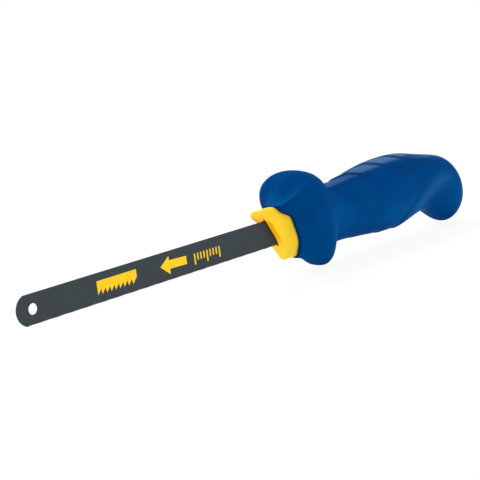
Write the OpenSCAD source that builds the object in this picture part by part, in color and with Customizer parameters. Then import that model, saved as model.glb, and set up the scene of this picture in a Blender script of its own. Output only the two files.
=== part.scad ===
// Multi-blade saw: a straight handle that grips one standard hacksaw blade by its flat.
// X runs along the tool (blade tip at -X, pommel at +X), Y across it, Z up; the teeth face -Z.
// The origin is the mouth of the blade slot, on the blade's centre line. Millimetres.

/* [Blade] */
// distance between the two pin holes
blade_hole_spacing = 250; // [230:1:305]
// hole centre to the rounded end
blade_end_margin = 8.4; // [7:0.1:10]
// blade height over the teeth
blade_height = 12.7; // [11:0.1:13.5]
// blade thickness
blade_thickness = 0.64; // [0.5:0.02:0.8]
// pin hole diameter
blade_hole_d = 4.7; // [3.5:0.1:5.5]
// teeth per 25.4 mm
teeth_per_inch = 24; // [14:1:32]
// depth of one tooth
tooth_depth = 0.6; // [0.3:0.05:0.9]
// radius of the rounded ends
blade_end_r = 6.8; // [6.8:0.1:9]
// how far behind the mouth the butt of the blade rests
blade_depth = 120.8; // [112:0.2:124]

/* [Collar] */
// collar width
collar_width = 10.4; // [9.4:0.2:11.6]
// collar top above the blade's centre line
collar_top = 11.9; // [11.4:0.1:12.6]
// collar bottom below the blade's centre line
collar_bottom = 14.3; // [12:0.1:15]
// squareness of the collar's section, 2 is an ellipse
collar_squareness = 3.2; // [2.4:0.1:5]
// share of its width that the collar loses toward its keel
collar_taper = 0.58; // [0.3:0.02:0.7]
// depth below the axis where that narrowing starts
collar_shoulder = 4; // [2:0.5:6]
// lean of the collar's front, top forward, in degrees
collar_rake = 31; // [20:1:36]
// how far the hood reaches ahead of the mouth
collar_nose = 3.2; // [2.8:0.1:5]
// thickness of the hood's nose
nose_thickness = 4.2; // [3.6:0.1:4.6]
// how far the nose stays below the collar's top
nose_drop = 0.3; // [0.1:0.1:0.5]
// step from the slot's top to the underside of the hood
hood_stand = 0.4; // [0.2:0.1:0.6]
// depth of the dished front at the hood
dish_depth = 1; // [0.5:0.1:2]
// how far the front runs back from the slot's lower end to the keel
chin_run = 2.1; // [1:0.1:4]
// rear end of the collar's body, behind the mouth
collar_tail = 28.5; // [27.5:0.1:29]
// stroke of the collar when it is pushed to free the blade
collar_stroke = 5; // [4:0.1:5.5]
// height of the slot that the blade passes through
slot_height = 14.2; // [13.8:0.1:15]
// width of the slot, clear of the set of the teeth
slot_width = 1.3; // [1.1:0.05:1.6]
// room left behind the collar when it is pushed in
pocket_spare = 0.6; // [0.4:0.1:1]

/* [Jaws] */
// jaw length along the blade
jaw_length = 17; // [15:0.5:18]
// jaw thickness at its narrow front
jaw_front = 1.7; // [1.5:0.1:2]
// jaw height
jaw_height = 9; // [7:0.2:9.4]
// height of the jaw's middle above the blade's centre line, so that it clears the teeth
jaw_lift = 0.7; // [0.3:0.1:1]
// slope of the jaw's back, in degrees
jaw_slope = 8; // [6:0.5:9]
// housing wall beside the jaws
housing_wall = 1.4; // [1:0.1:1.8]
// room above and below the jaws
jaw_side_gap = 0.2; // [0.15:0.05:0.3]
// how far a pushed jaw stands out behind the housing
jaw_overhang = 1.5; // [1:0.1:2]
// wall of the core between the collar's pocket and the housing
pocket_wall = 0.4; // [0.3:0.1:0.6]
// housing wall above the slot
housing_crown = 1.9; // [1.5:0.1:2.2]
// housing wall above and below the jaws
housing_roof = 2.4; // [2:0.1:2.8]
// length of the housing's tall front, which the pins pass through
ear_length = 5.5; // [5:0.1:6]
// half width of that front
ear_half = 5.5; // [5.2:0.1:5.8]
// diameter of the housing pins
housing_pin_d = 2; // [1.6:0.1:2.2]
// metal between a housing pin and the slot
pin_clear = 0.6; // [0.5:0.1:0.8]
// metal outside a housing pin
ear_rim = 1; // [0.8:0.1:1.2]
// length of the housing pins
housing_pin_length = 13; // [12.4:0.1:13.4]

/* [Springs] */
// coil diameter over the wire
spring_od = 3.6; // [3.2:0.1:4]
// wire diameter
spring_wire = 0.5; // [0.4:0.05:0.6]
// length between the jaw and the seat
spring_length = 15; // [13:0.5:16]
// number of turns
spring_turns = 9; // [6:1:10]
// distance of each spring from the blade's mid-plane
spring_offset = 2.5; // [2.4:0.05:2.6]
// seat plate thickness
seat_t = 1.2; // [0.8:0.1:2]
// seat plate width
seat_width = 11; // [10:0.5:11.5]
// seat plate height
seat_height = 18; // [17:0.5:18.5]
// rounding of the seat plate's corners
seat_corner = 2; // [1:0.5:3]

/* [Guide and stop] */
// sheet thickness of the blade guide
guide_t = 0.6; // [0.5:0.1:1]
// room between the spring seat and the guide
guide_stand = 0.6; // [0.4:0.1:1]
// how far ahead of the blade's butt the guide ends
guide_short = 12.4; // [11:0.2:28]
// diameter of the pin that the blade's butt bears on
stop_pin_d = 4; // [3:0.1:5]
// length of that pin
stop_pin_length = 14; // [10:0.5:15]

/* [Handle stations] */
// start of the soft grip's lip, measured on the axis
lip_at = 15.9; // [15:0.1:16.5]
// middle of the hand guard's rim
guard_at = 31.5; // [30.5:0.5:32.5]
// thickness of the guard, foot to foot on each side of its rim
guard_thick = 12; // [10.5:0.5:12.5]
// thinnest part of the neck behind the guard
neck_at = 48; // [46:0.5:50]
// fullest part of the grip
swell_at = 90; // [82:1:94]
// waist ahead of the pommel
waist_at = 117; // [113:0.5:120]
// lowest part of the pommel's hook
hook_at = 138.5; // [134:0.5:141]
// rear end of the handle
handle_end = 148.5; // [147:0.5:156]
// lean of the guard, top forward, as a slope
guard_lean = 0.3; // [0.2:0.02:0.36]
// lean of the lip around the collar, as a slope
lip_lean = 0.3; // [0.1:0.02:0.4]
// how far the lip reaches forward over the collar's top
lip_bill = 5.4; // [3:0.1:6]
// how far it reaches forward under the collar
lip_chin = 1; // [0.5:0.1:3]

/* [Handle heights] */
// wall of the lip around the collar
lip_wall = 0.7; // [0.6:0.1:1.2]
// guard above the axis
guard_top = 26; // [24:0.1:28]
// guard below the axis
guard_bottom = 22.9; // [21.5:0.1:26]
// neck above the axis
neck_top = 15.2; // [14.2:0.1:17]
// neck below the axis
neck_bottom = 13.6; // [13.3:0.1:15]
// grip above the axis
swell_top = 20.2; // [18:0.1:23]
// grip below the axis
swell_bottom = 16.2; // [15:0.1:18]
// waist above the axis
waist_top = 17; // [15.5:0.1:19]
// waist below the axis
waist_bottom = 12.4; // [12.2:0.1:14]
// pommel above the axis
hook_top = 12.4; // [11:0.1:15]
// pommel hook below the axis
hook_bottom = 22.2; // [20:0.1:25]
// height of the pommel's rearmost point, below the axis
end_drop = 7; // [4:0.1:10]
// length of the rounded end
end_round = 15; // [11:0.5:17]

/* [Handle widths] */
// half width of the guard at mid height
guard_half = 17.7; // [16:0.1:18.5]
// how much wider the guard is above than below
guard_egg = 0.46; // [0.3:0.02:0.6]
// how far the guard's sides sweep forward
guard_cup = 4; // [2:0.1:5]
// how much wider the grip is above than below
grip_egg = 0.05; // [0:0.01:0.1]
// half width of the neck
neck_half = 11.6; // [11.2:0.1:13]
// half width of the grip
swell_half = 13.6; // [12:0.1:16]
// half width of the waist
waist_half = 12; // [11:0.1:14]
// half width of the pommel
hook_half = 13.4; // [12:0.1:16]
// squareness of the guard's section, 2 is an ellipse
guard_squareness = 2.15; // [1.9:0.05:2.4]
// squareness of the grip's section, 2 is an ellipse
grip_squareness = 2.12; // [2:0.05:2.8]
// thickness of the soft grip over the hard core
sleeve_t = 2.6; // [2:0.1:3]
// start of the hard core, measured on the axis
core_at = 26; // [25.5:0.1:26.5]
// height of the pads and folds on the grip
ridge_rise = 0.7; // [0.2:0.1:1]
// length over which a pad or fold rises
ridge_run = 2.5; // [2:0.1:4]
// how fast a pad's front edge sweeps back on the left side, per square degree from the crest
pad_back = 0.004; // [0.002:0.001:0.006]
// how fast it sweeps forward on the right side
pad_forward = 0.017; // [0.01:0.001:0.02]

/* [Fasteners] */
// screw shank diameter
screw_d = 2.9; // [2.5:0.1:3.2]
// screw head diameter
screw_head_d = 5.6; // [5:0.1:6]
// screw head height
screw_head_h = 2; // [1.6:0.1:2.2]
// screw length under the head
screw_length = 11; // [10:0.5:12]
// dowel diameter
dowel_d = 2.4; // [2:0.1:2.6]
// dowel length
dowel_length = 8; // [6:0.5:9]
// collar pin diameter
collar_pin_d = 2.5; // [2:0.1:2.6]
// wall between the collar pin and the collar's tail
collar_pin_back = 1.8; // [1.5:0.1:2.2]
// wall between the collar pin and the slot
collar_pin_over = 1; // [0.8:0.1:1.2]
// collar pin length
collar_pin_length = 20; // [16:0.5:21]

/* [Fits] */
// gap around the sliding collar
slide_gap = 0.3; // [0.25:0.05:0.4]
// gap between the jaws and what they bear on
jaw_gap = 0.03; // [0.02:0.01:0.05]
// gap around pieces that sit in the core
seat_gap = 0.1; // [0.05:0.01:0.15]
// gap between pieces that only face each other
face_gap = 0.1; // [0.05:0.01:0.2]

/* [Hidden] */
around = 48;
$fn = 48;
inch = 25.4;
// how far a joined shape reaches into its neighbour, and a cut past the face it opens
root = 0.5;
through = 1;

// blade
blade_length = blade_hole_spacing + 2 * blade_end_margin;
blade_butt = blade_depth;
blade_tip = blade_butt - blade_length;
blade_top = blade_height / 2;
end_bulge = blade_end_r - sqrt(pow(blade_end_r, 2) - pow(blade_top, 2));
tooth_pitch = inch / teeth_per_inch;
tooth_count = floor((blade_length - 2 * end_bulge - 2) / tooth_pitch);
tooth_start = blade_tip + end_bulge + 1;

// collar
mouth_top = slot_height / 2;
rake = tan(collar_rake);
nose_r = nose_thickness / 2;
nose_z = collar_top - nose_drop - nose_r;
pocket_end = collar_tail + collar_stroke + pocket_spare;

// jaws and housing
housing_front = pocket_end + pocket_wall;
jaw_x0 = collar_tail + face_gap;
jaw_x1 = jaw_x0 + jaw_length;
jaw_in = blade_thickness / 2 + jaw_gap;
jaw_z0 = jaw_lift - jaw_height / 2;
jaw_z1 = jaw_lift + jaw_height / 2;
housing_rear = jaw_x1 + collar_stroke - jaw_overhang;
function jaw_back(x) = jaw_in + jaw_front + (x - jaw_x0) * tan(jaw_slope);
housing_half = jaw_back(housing_rear) + jaw_gap + housing_wall;
housing_z0 = jaw_z0 - jaw_side_gap - housing_roof;
housing_z1 = mouth_top + housing_crown;
pin_x = housing_front + ear_length / 2;
pin_z = mouth_top + pin_clear + housing_pin_d / 2;
ear_z = pin_z + housing_pin_d / 2 + ear_rim;
collar_pin_x = collar_tail - collar_pin_d / 2 - collar_pin_back;
collar_pin_z = mouth_top + collar_pin_over + collar_pin_d / 2;

// springs, seat, guide and stop
spring_r = (spring_od - spring_wire) / 2;
spring_x0 = jaw_x1 + spring_wire / 2 + face_gap / 2;
spring_x1 = jaw_x1 + spring_length - spring_wire / 2 - face_gap / 2;
spigot_r = spring_r - spring_wire / 2 - collar_stroke * tan(jaw_slope) - face_gap;
spigot_length = 4 * spring_wire;
seat_x = jaw_x1 + spring_length;
guide_x = seat_x + seat_t + guide_stand;
guide_length = blade_butt - guide_short - guide_x;
guide_in = slot_width / 2;
guide_top = slot_height / 2;
stop_x = blade_butt + stop_pin_d / 2 + face_gap;

// handle: each list holds [place along the axis, size]
core_end = handle_end - sleeve_t;
lip = slide_gap + lip_wall;
function profile(lip, guard, neck, swell, waist, hook, end) = [
    [lip_at, lip],
    [guard_at - guard_thick, lip + 0.16 * (guard - lip)],
    [guard_at - 0.52 * guard_thick, lip + 0.8 * (guard - lip)],
    [guard_at, guard],
    [guard_at + 0.4 * guard_thick, neck + 0.86 * (guard - neck)],
    [guard_at + 0.62 * guard_thick, neck + 0.42 * (guard - neck)],
    [guard_at + 0.85 * guard_thick, neck + 0.08 * (guard - neck)],
    [neck_at, neck],
    [swell_at, swell],
    [waist_at, waist],
    [hook_at, hook],
    [handle_end, end]];
top_line = profile(collar_top + lip, guard_top, neck_top, swell_top, waist_top, hook_top, hook_top - 6);
bottom_line = profile(collar_bottom + lip, guard_bottom, neck_bottom, swell_bottom, waist_bottom,
    hook_bottom, hook_bottom);
side_line = profile(collar_width / 2 + lip, guard_half, neck_half, swell_half, waist_half, hook_half,
    hook_half);
lean_line = [[lip_at, lip_lean], [guard_at - 0.52 * guard_thick, guard_lean], [guard_at, guard_lean],
    [neck_at + 8, 0], [handle_end, 0]];
cup_line = [[lip_at, 0], [guard_at - 0.52 * guard_thick, guard_cup],
    [guard_at + 0.4 * guard_thick, guard_cup], [neck_at, 0], [handle_end, 0]];
egg_line = [[lip_at, 0], [guard_at - 0.52 * guard_thick, guard_egg],
    [guard_at + 0.4 * guard_thick, guard_egg], [neck_at, grip_egg], [handle_end, grip_egg]];
square_line = [[lip_at, collar_squareness], [guard_at - 0.52 * guard_thick, guard_squareness],
    [guard_at + 0.4 * guard_thick, guard_squareness], [neck_at, grip_squareness],
    [handle_end, grip_squareness]];

// front lines of the pads on the crest and of the folds on the keel
grip_run = waist_at - neck_at;
pad_starts = [neck_at - guard_thick, neck_at + 0.25 * grip_run, neck_at + 0.46 * grip_run,
    neck_at + 0.75 * grip_run, hook_at];
fold_starts = [neck_at - guard_thick, neck_at + 0.15 * grip_run, neck_at + 0.44 * grip_run,
    neck_at + 0.63 * grip_run, hook_at];

// places of the core screws and dowels, [x, z]
over_guide = guide_top + guide_t + screw_d / 2 + pin_clear;
screw_spots = [[guard_at - guard_thick / 2, 0.64 * guard_top], [swell_at, over_guide],
    [hook_at - 0.25 * end_round, -0.45 * hook_bottom]];
dowel_spots = [[(neck_at + swell_at) / 2, over_guide], [(swell_at + waist_at) / 2 - guard_thick / 4,
    -guide_top - dowel_d / 2 - pin_clear]];

// smooth line through a list of knots, level at every peak and hollow
function piece(k, x, i = 0) = (i >= len(k) - 2 || x <= k[i + 1][0]) ? i : piece(k, x, i + 1);
function rise(k, i) = (k[i + 1][1] - k[i][1]) / (k[i + 1][0] - k[i][0]);
function bend(a, b) = a * b <= 0 ? 0 : 2 * a * b / (a + b);
function slope(k, i) =
    i == 0 ? rise(k, 0) : i == len(k) - 1 ? rise(k, i - 1) : bend(rise(k, i - 1), rise(k, i));
function blend(a, b, sa, sb, h, t) =
    a * (1 + 2 * t) * pow(1 - t, 2) + b * t * t * (3 - 2 * t)
    + h * (sa * t * pow(1 - t, 2) - sb * t * t * (1 - t));
function line_at(k, x) =
    let (i = piece(k, x), h = k[i + 1][0] - k[i][0])
    blend(k[i][1], k[i + 1][1], slope(k, i), slope(k, i + 1), h, (x - k[i][0]) / h);

// one point of a rounded box section, a full turn in degrees
function power(v, n) = sign(v) * pow(abs(v), 2 / n);
function ring_point(a, half, top, bottom, n) =
    [half * power(cos(a), n), (top - bottom) / 2 + (top + bottom) / 2 * power(sin(a), n)];

// the collar's section: a rounded box whose sides are drawn in toward the keel
function keel(a) =
    let (p = ring_point(a, collar_width / 2, collar_top, collar_bottom, collar_squareness),
        low = max(0, min(1, (-p[1] - collar_shoulder) / (collar_bottom - collar_shoulder))))
    collar_taper * pow(low, 1.3) * p[0];
function collar_point(a, gap) =
    let (p = ring_point(a, collar_width / 2 + gap, collar_top + gap, collar_bottom + gap, collar_squareness))
    [p[0] - keel(a), p[1]];

// how much a section at s shrinks toward the rounded rear end
function shrink(s, end) =
    s <= end - end_round ? 1 : sqrt(max(0, 1 - pow((s - end + end_round) / end_round, 2)));

// pads on the top and folds below: each rises at its front line and falls away to the next, gone at mid side
function fade(v, lo, hi) = let (t = max(0, min(1, (v - lo) / (hi - lo)))) t * t * (3 - 2 * t);
function step_height(s, lines, k = 0) =
    k > len(lines) - 2 || s < lines[k] ? 0 : s >= lines[k + 1] ? step_height(s, lines, k + 1)
    : min(1, (s - lines[k]) / ridge_run) * (1 - pow((s - lines[k]) / (lines[k + 1] - lines[k]), 2));
function ridge(s, a) =
    let (past = a < 180 ? a - 90 : a - 270, up = a < 180, off = abs(past),
        sweep = up ? (past > 0 ? pad_back : -pad_forward) * off * off : 0.00002 * pow(off, 3),
        zone = fade(s, neck_at, neck_at + 8) * (1 - fade(s, swell_at + 14, waist_at)),
        side = 1 - fade(off, up ? 26 : 50, up ? 50 : 80))
    ridge_rise * zone * side * (step_height(s, [for (v = up ? pad_starts : fold_starts) v + sweep]) - 1);

// how far the lip's edge runs ahead of its lean, above and below the collar
function lip_shift(s, z) =
    (1 - fade(s, lip_at, guard_at - 0.52 * guard_thick))
    * (lip_bill * fade(z, 0.45 * collar_top, 0.85 * collar_top)
        + lip_chin * fade(-z, 0.5 * collar_bottom, collar_bottom));

// one section of the handle at s, drawn in by d; a drawn-in one starts level at the core's front
function section(s, d, end, a0, a1, step) =
    let (k = shrink(s, end), lean = line_at(lean_line, s), egg = line_at(egg_line, s),
        cup = line_at(cup_line, s) * (d == 0 ? 1 : fade(s, core_at, guard_at + 0.4 * guard_thick)),
        n = line_at(square_line, s), top = line_at(top_line, s) - d,
        draw = 1 - fade(s, lip_at, guard_at - 0.52 * guard_thick),
        bottom = line_at(bottom_line, s) - d, half = line_at(side_line, s) - d)
    [for (a = [a0:step:a1])
        let (p = ring_point(a, half, top, bottom, n), r = d == 0 ? ridge(s, a) : 0,
            y = (p[0] * (1 + egg * power(sin(a), n)) + r * cos(a) - draw * keel(a)) * k,
            z = (p[1] + r * sin(a) + end_drop) * k - end_drop)
        [s - lean * z - cup * pow(y / guard_half, 2) - (d == 0 ? lip_shift(s, z) : 0), y, z]];
function pocket_ring(s, gap) =
    let (lean = line_at(lean_line, s))
    [for (i = [0:around - 1])
        let (p = collar_point(i * 360 / around, gap))
        [s - lean * p[1] - (s < core_at ? lip_shift(s, p[1]) : 0), p[0], p[1]]];

// places of the sections: close together at the guard and the rounded end
function places(from, end, fine) =
    let (mid = neck_at + 2, cap = end - end_round, n1 = fine ? 20 : 12, n2 = fine ? 34 : 16,
        n3 = fine ? 9 : 6)
    concat([for (i = [0:n1 - 1]) from + (mid - from) * i / n1],
        [for (i = [0:n2 - 1]) mid + (cap - mid) * i / n2],
        [for (i = [0:n3 - 1]) cap + end_round * sin(90 * i / n3)]);

// closed skin through rings of equal length; it ends in a point, or in a flat face where a point is undef
module skin(rings, first, last) {
    n = len(rings[0]);
    m = len(rings);
    points = concat([for (r = rings) each r], first == undef ? [] : [first], last == undef ? [] : [last]);
    a = n * m;
    b = first == undef ? a : a + 1;
    sides = [for (j = [0:m - 2], i = [0:n - 1], t = [0, 1])
        let (p = j * n + i, q = j * n + (i + 1) % n) t == 0 ? [p, q, q + n] : [p, q + n, p + n]];
    head = first == undef ? [[for (i = [n - 1:-1:0]) i]] : [for (i = [0:n - 1]) [(i + 1) % n, i, a]];
    foot = last == undef ? [[for (i = [0:n - 1]) (m - 1) * n + i]]
        : [for (i = [0:n - 1]) [(m - 1) * n + i, (m - 1) * n + (i + 1) % n, b]];
    polyhedron(points, concat(sides, head, foot), convexity = 8);
}

module along_y(x, z, y0, y1, r) translate([x, y0, z]) rotate([-90, 0, 0]) cylinder(h = y1 - y0, r = r);
module pin(x, z, length, d) along_y(x, z, -length / 2, length / 2, d / 2);
module pin_seat(x, z, length, d) pin(x, z, length + 2 * seat_gap, d + 2 * seat_gap);
module along_x(x0, x1, y, z, r) translate([x0, y, z]) rotate([0, 90, 0]) cylinder(h = x1 - x0, r = r);
module block(x0, x1, y0, y1, z0, z1) translate([x0, y0, z0]) cube([x1 - x0, y1 - y0, z1 - z0]);
module side_plate(y0, y1) translate([0, y1, 0]) rotate([90, 0, 0]) linear_extrude(y1 - y0) children();

module seat_plate(gap) {
    r = seat_corner + gap;
    translate([seat_x - gap, 0, jaw_lift]) rotate([90, 0, 90]) linear_extrude(seat_t + 2 * gap) hull()
        for (y = [-1, 1], z = [-1, 1])
            translate([y * (seat_width / 2 + gap - r), z * (seat_height / 2 + gap - r)]) circle(r);
}

module collar_prism(x0, x1, gap) {
    translate([x0, 0, 0]) rotate([90, 0, 90]) linear_extrude(x1 - x0)
        polygon([for (i = [0:around - 1]) collar_point(i * 360 / around, gap)]);
}

module collar_outline() {
    slot_end = rake * (2 * mouth_top + hood_stand);
    polygon(concat([[collar_tail, -collar_bottom], [slot_end + chin_run, -collar_bottom],
        [slot_end, -mouth_top], [0, mouth_top + hood_stand]],
        [for (a = [-90:-15:-270]) [nose_r - collar_nose + nose_r * cos(a), nose_z + nose_r * sin(a)]],
        [[3, collar_top], [collar_tail, collar_top]]));
}

// the front is dished around the slot, most under the hood
module dish() {
    wide = collar_width / 2 - 0.7;
    r = (wide * wide + dish_depth * dish_depth) / (2 * dish_depth);
    translate([0, 0, mouth_top]) rotate([0, -collar_rake - 5, 0])
        translate([dish_depth - r, 0, -2.2 * mouth_top]) cylinder(h = 2.2 * mouth_top, r = r, $fn = 96);
}

// outline with the cutting edge: each tooth faces the tip
module blade_outline() {
    arc = asin(blade_top / blade_end_r);
    butt_x = blade_butt - blade_end_r;
    tip_x = blade_tip + blade_end_r;
    low = -blade_top + tooth_depth;
    polygon(concat(
        [for (i = [0:tooth_count - 1], t = [0, 1])
            [tooth_start + (i + (t == 0 ? 0 : 0.8)) * tooth_pitch, t == 0 ? -blade_top : low]],
        [[tooth_start + tooth_count * tooth_pitch, -blade_top]],
        [for (a = [-arc:arc / 8:arc]) [butt_x + blade_end_r * cos(a), blade_end_r * sin(a)]],
        [for (a = [180 - arc:arc / 8:180 + arc]) [tip_x + blade_end_r * cos(a), blade_end_r * sin(a)]]));
}

module coil(y) {
    rounds = 8;
    count = rounds * spring_turns;
    span = spring_x1 - spring_x0;
    path = [for (i = [0:count])
        let (a = 360 * i / rounds)
        [spring_x0 + span * i / count, y + spring_r * cos(a), jaw_lift + spring_r * sin(a)]];
    near = [for (i = [0:count - 5], j = [i + 5:min(count, i + 12)]) norm(path[i] - path[j])];
    gap = min(near) - spring_wire;
    echo(least_spring_gap = gap);
    function way(i) = let (v = path[min(count, i + 1)] - path[max(0, i - 1)]) v / norm(v);
    line = concat([path[0] - way(0) * spring_wire], path, [path[count] + way(count) * spring_wire]);
    last = len(line) - 1;
    skin([for (i = [0:last])
        let (k = max(0, min(count, i - 1)), v = [0, path[k][1] - y, path[k][2] - jaw_lift],
            out = v / norm(v), u = cross(way(k), out))
        [for (a = [300:-60:0]) line[i] + spring_wire / 2 * (cos(a) * out + sin(a) * u)]]);
}

module jaw(side) {
    a = side * jaw_in;
    b = side * (jaw_in + jaw_front);
    c = side * jaw_back(jaw_x1);
    translate([0, 0, jaw_z0]) linear_extrude(jaw_height)
        polygon([[jaw_x0, a], [jaw_x1, a], [jaw_x1, c], [jaw_x0, b]]);
    along_x(jaw_x1 - root, jaw_x1 + spigot_length, side * spring_offset, jaw_lift, spigot_r);
}

module core_half(side) {
    stations = places(core_at, core_end, false);
    a0 = side < 0 ? 90 : -90;
    difference() {
        skin([for (i = [len(stations) - 1:-1:0])
            section(stations[i], sleeve_t, core_end, a0, a0 + 180, 360 / around)], [core_end, 0, -end_drop]);
        collar_prism(0, pocket_end, slide_gap);
        block(housing_front - seat_gap, housing_rear + seat_gap, -housing_half - seat_gap,
            housing_half + seat_gap, housing_z0 - seat_gap, housing_z1 + seat_gap);
        block(pocket_end - through, guide_x + through, -guide_in, guide_in, -mouth_top, mouth_top);
        block(housing_front - seat_gap, housing_front + ear_length + seat_gap, -ear_half - seat_gap,
            ear_half + seat_gap, -ear_z - seat_gap, ear_z + seat_gap);
        block(pocket_end - through, housing_front + through, -jaw_back(housing_front) - slide_gap,
            jaw_back(housing_front) + slide_gap, jaw_z0 - slide_gap, jaw_z1 + slide_gap);
        block(housing_rear - through, seat_x + root, -housing_half + slide_gap, housing_half - slide_gap,
            jaw_z0 - slide_gap, jaw_z1 + slide_gap);
        seat_plate(seat_gap);
        block(guide_x - seat_gap, guide_x + guide_length + seat_gap, -guide_in - guide_t - seat_gap,
            guide_in + guide_t + seat_gap, -guide_top - seat_gap, guide_top + guide_t + seat_gap);
        block(guide_x + guide_length - through, stop_x, -guide_in, guide_in, -mouth_top, mouth_top);
        pin_seat(stop_x, 0, stop_pin_length, stop_pin_d);
        pin_seat(collar_pin_x, collar_pin_z, collar_pin_length, collar_pin_d);
        for (z = [-pin_z, pin_z]) pin_seat(pin_x, z, housing_pin_length, housing_pin_d);
        for (p = screw_spots) {
            along_y(p[0], p[1], -screw_length / 2 - root, screw_length / 2 + root, screw_d / 2 + seat_gap);
            along_y(p[0], p[1], -guard_half - through, -screw_length / 2 + seat_gap,
                screw_head_d / 2 + seat_gap);
        }
        for (p = dowel_spots) pin_seat(p[0], p[1], dowel_length, dowel_d);
    }
}

module saw_blade() {
    color([0.26, 0.29, 0.31]) side_plate(-blade_thickness / 2, blade_thickness / 2) difference() {
        blade_outline();
        for (x = [blade_tip + blade_end_margin, blade_butt - blade_end_margin])
            translate([x, 0]) circle(d = blade_hole_d);
    }
}

module clamp_collar() {
    color([0.96, 0.72, 0.05]) difference() {
        intersection() {
            side_plate(-collar_width, collar_width) collar_outline();
            collar_prism(-collar_nose - through, collar_tail, 0);
        }
        dish();
        block(-collar_nose - through, collar_tail + through, -slot_width / 2, slot_width / 2,
            -mouth_top, mouth_top);
        for (x = [0, collar_stroke])
            pin(collar_pin_x - x, collar_pin_z, 2 * collar_width, collar_pin_d + 2 * face_gap);
        block(collar_pin_x - collar_stroke, collar_pin_x, -collar_width, collar_width,
            collar_pin_z - collar_pin_d / 2 - face_gap, collar_pin_z + collar_pin_d / 2 + face_gap);
    }
}

module left_jaw() color([0.55, 0.56, 0.58]) jaw(-1);
module right_jaw() color([0.55, 0.56, 0.58]) jaw(1);

module jaw_housing() {
    x0 = housing_front - through;
    x1 = housing_rear + through;
    color([0.62, 0.62, 0.64]) difference() {
        union() {
            block(housing_front, housing_rear, -housing_half, housing_half, housing_z0, housing_z1);
            block(housing_front, housing_front + ear_length, -ear_half, ear_half, -ear_z, ear_z);
        }
        translate([0, 0, jaw_z0 - jaw_side_gap]) linear_extrude(jaw_height + 2 * jaw_side_gap)
            polygon([[x0, -jaw_back(x0) - jaw_gap], [x1, -jaw_back(x1) - jaw_gap],
                [x1, jaw_back(x1) + jaw_gap], [x0, jaw_back(x0) + jaw_gap]]);
        block(x0, x1, -slot_width / 2, slot_width / 2, -mouth_top, mouth_top);
        for (z = [-pin_z, pin_z]) pin(pin_x, z, 2 * ear_half + 2 * through, housing_pin_d + seat_gap);
    }
}

module housing_pins() {
    color([0.7, 0.71, 0.73]) for (z = [-pin_z, pin_z]) pin(pin_x, z, housing_pin_length, housing_pin_d);
}

module left_jaw_spring() color([0.72, 0.73, 0.75]) coil(-spring_offset);
module right_jaw_spring() color([0.72, 0.73, 0.75]) coil(spring_offset);

module spring_seat() {
    color([0.66, 0.67, 0.69]) difference() {
        union() {
            seat_plate(0);
            for (side = [-1, 1])
                along_x(seat_x - spigot_length, seat_x + root, side * spring_offset, jaw_lift, spigot_r);
        }
        block(seat_x - spigot_length - through, seat_x + seat_t + through, -slot_width / 2, slot_width / 2,
            -mouth_top, mouth_top);
    }
}

module collar_pin() {
    color([0.7, 0.71, 0.73]) pin(collar_pin_x, collar_pin_z, collar_pin_length, collar_pin_d);
}

module blade_guide() {
    color([0.58, 0.6, 0.62]) difference() {
        block(guide_x, guide_x + guide_length, -guide_in - guide_t, guide_in + guide_t,
            -guide_top, guide_top + guide_t);
        block(guide_x - through, guide_x + guide_length + through, -guide_in, guide_in, -guide_top - through,
            guide_top);
    }
}

module blade_stop() {
    color([0.7, 0.71, 0.73]) pin(stop_x, 0, stop_pin_length, stop_pin_d);
}

module left_core() color([0.12, 0.13, 0.15]) core_half(-1);
module right_core() color([0.12, 0.13, 0.15]) core_half(1);

module core_screws() {
    color([0.68, 0.69, 0.71]) for (p = screw_spots) {
        along_y(p[0], p[1], -screw_length / 2 - root, screw_length / 2, screw_d / 2);
        along_y(p[0], p[1], -screw_length / 2 - screw_head_h, -screw_length / 2, screw_head_d / 2);
    }
}

module core_dowels() {
    color([0.7, 0.71, 0.73]) for (p = dowel_spots) pin(p[0], p[1], dowel_length, dowel_d);
}

module grip_sleeve() {
    step = 360 / around;
    outer = [for (s = places(lip_at, handle_end, true)) section(s, 0, handle_end, 0, 359, step)];
    inner = [for (s = places(core_at, core_end, false)) section(s, sleeve_t, core_end, 0, 359, step)];
    last = len(outer) - 1;
    rings = concat([for (i = [last:-1:0]) outer[i]],
        [pocket_ring(lip_at, slide_gap), pocket_ring(core_at, slide_gap)], inner);
    color([0.02, 0.24, 0.5]) skin(rings, [handle_end, 0, -end_drop], [core_end, 0, -end_drop]);
}

saw_blade();
clamp_collar();
left_jaw();
right_jaw();
jaw_housing();
housing_pins();
left_jaw_spring();
right_jaw_spring();
spring_seat();
collar_pin();
blade_guide();
blade_stop();
left_core();
right_core();
core_screws();
core_dowels();
grip_sleeve();
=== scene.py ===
"""Looks of the multi-blade saw: the grip, collar, blade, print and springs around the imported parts."""

import math

import bpy
import numpy as np
from bpy.props import FloatProperty, FloatVectorProperty, IntProperty, PointerProperty
from mathutils import Matrix, Vector
from mathutils.geometry import tessellate_polygon


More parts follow.
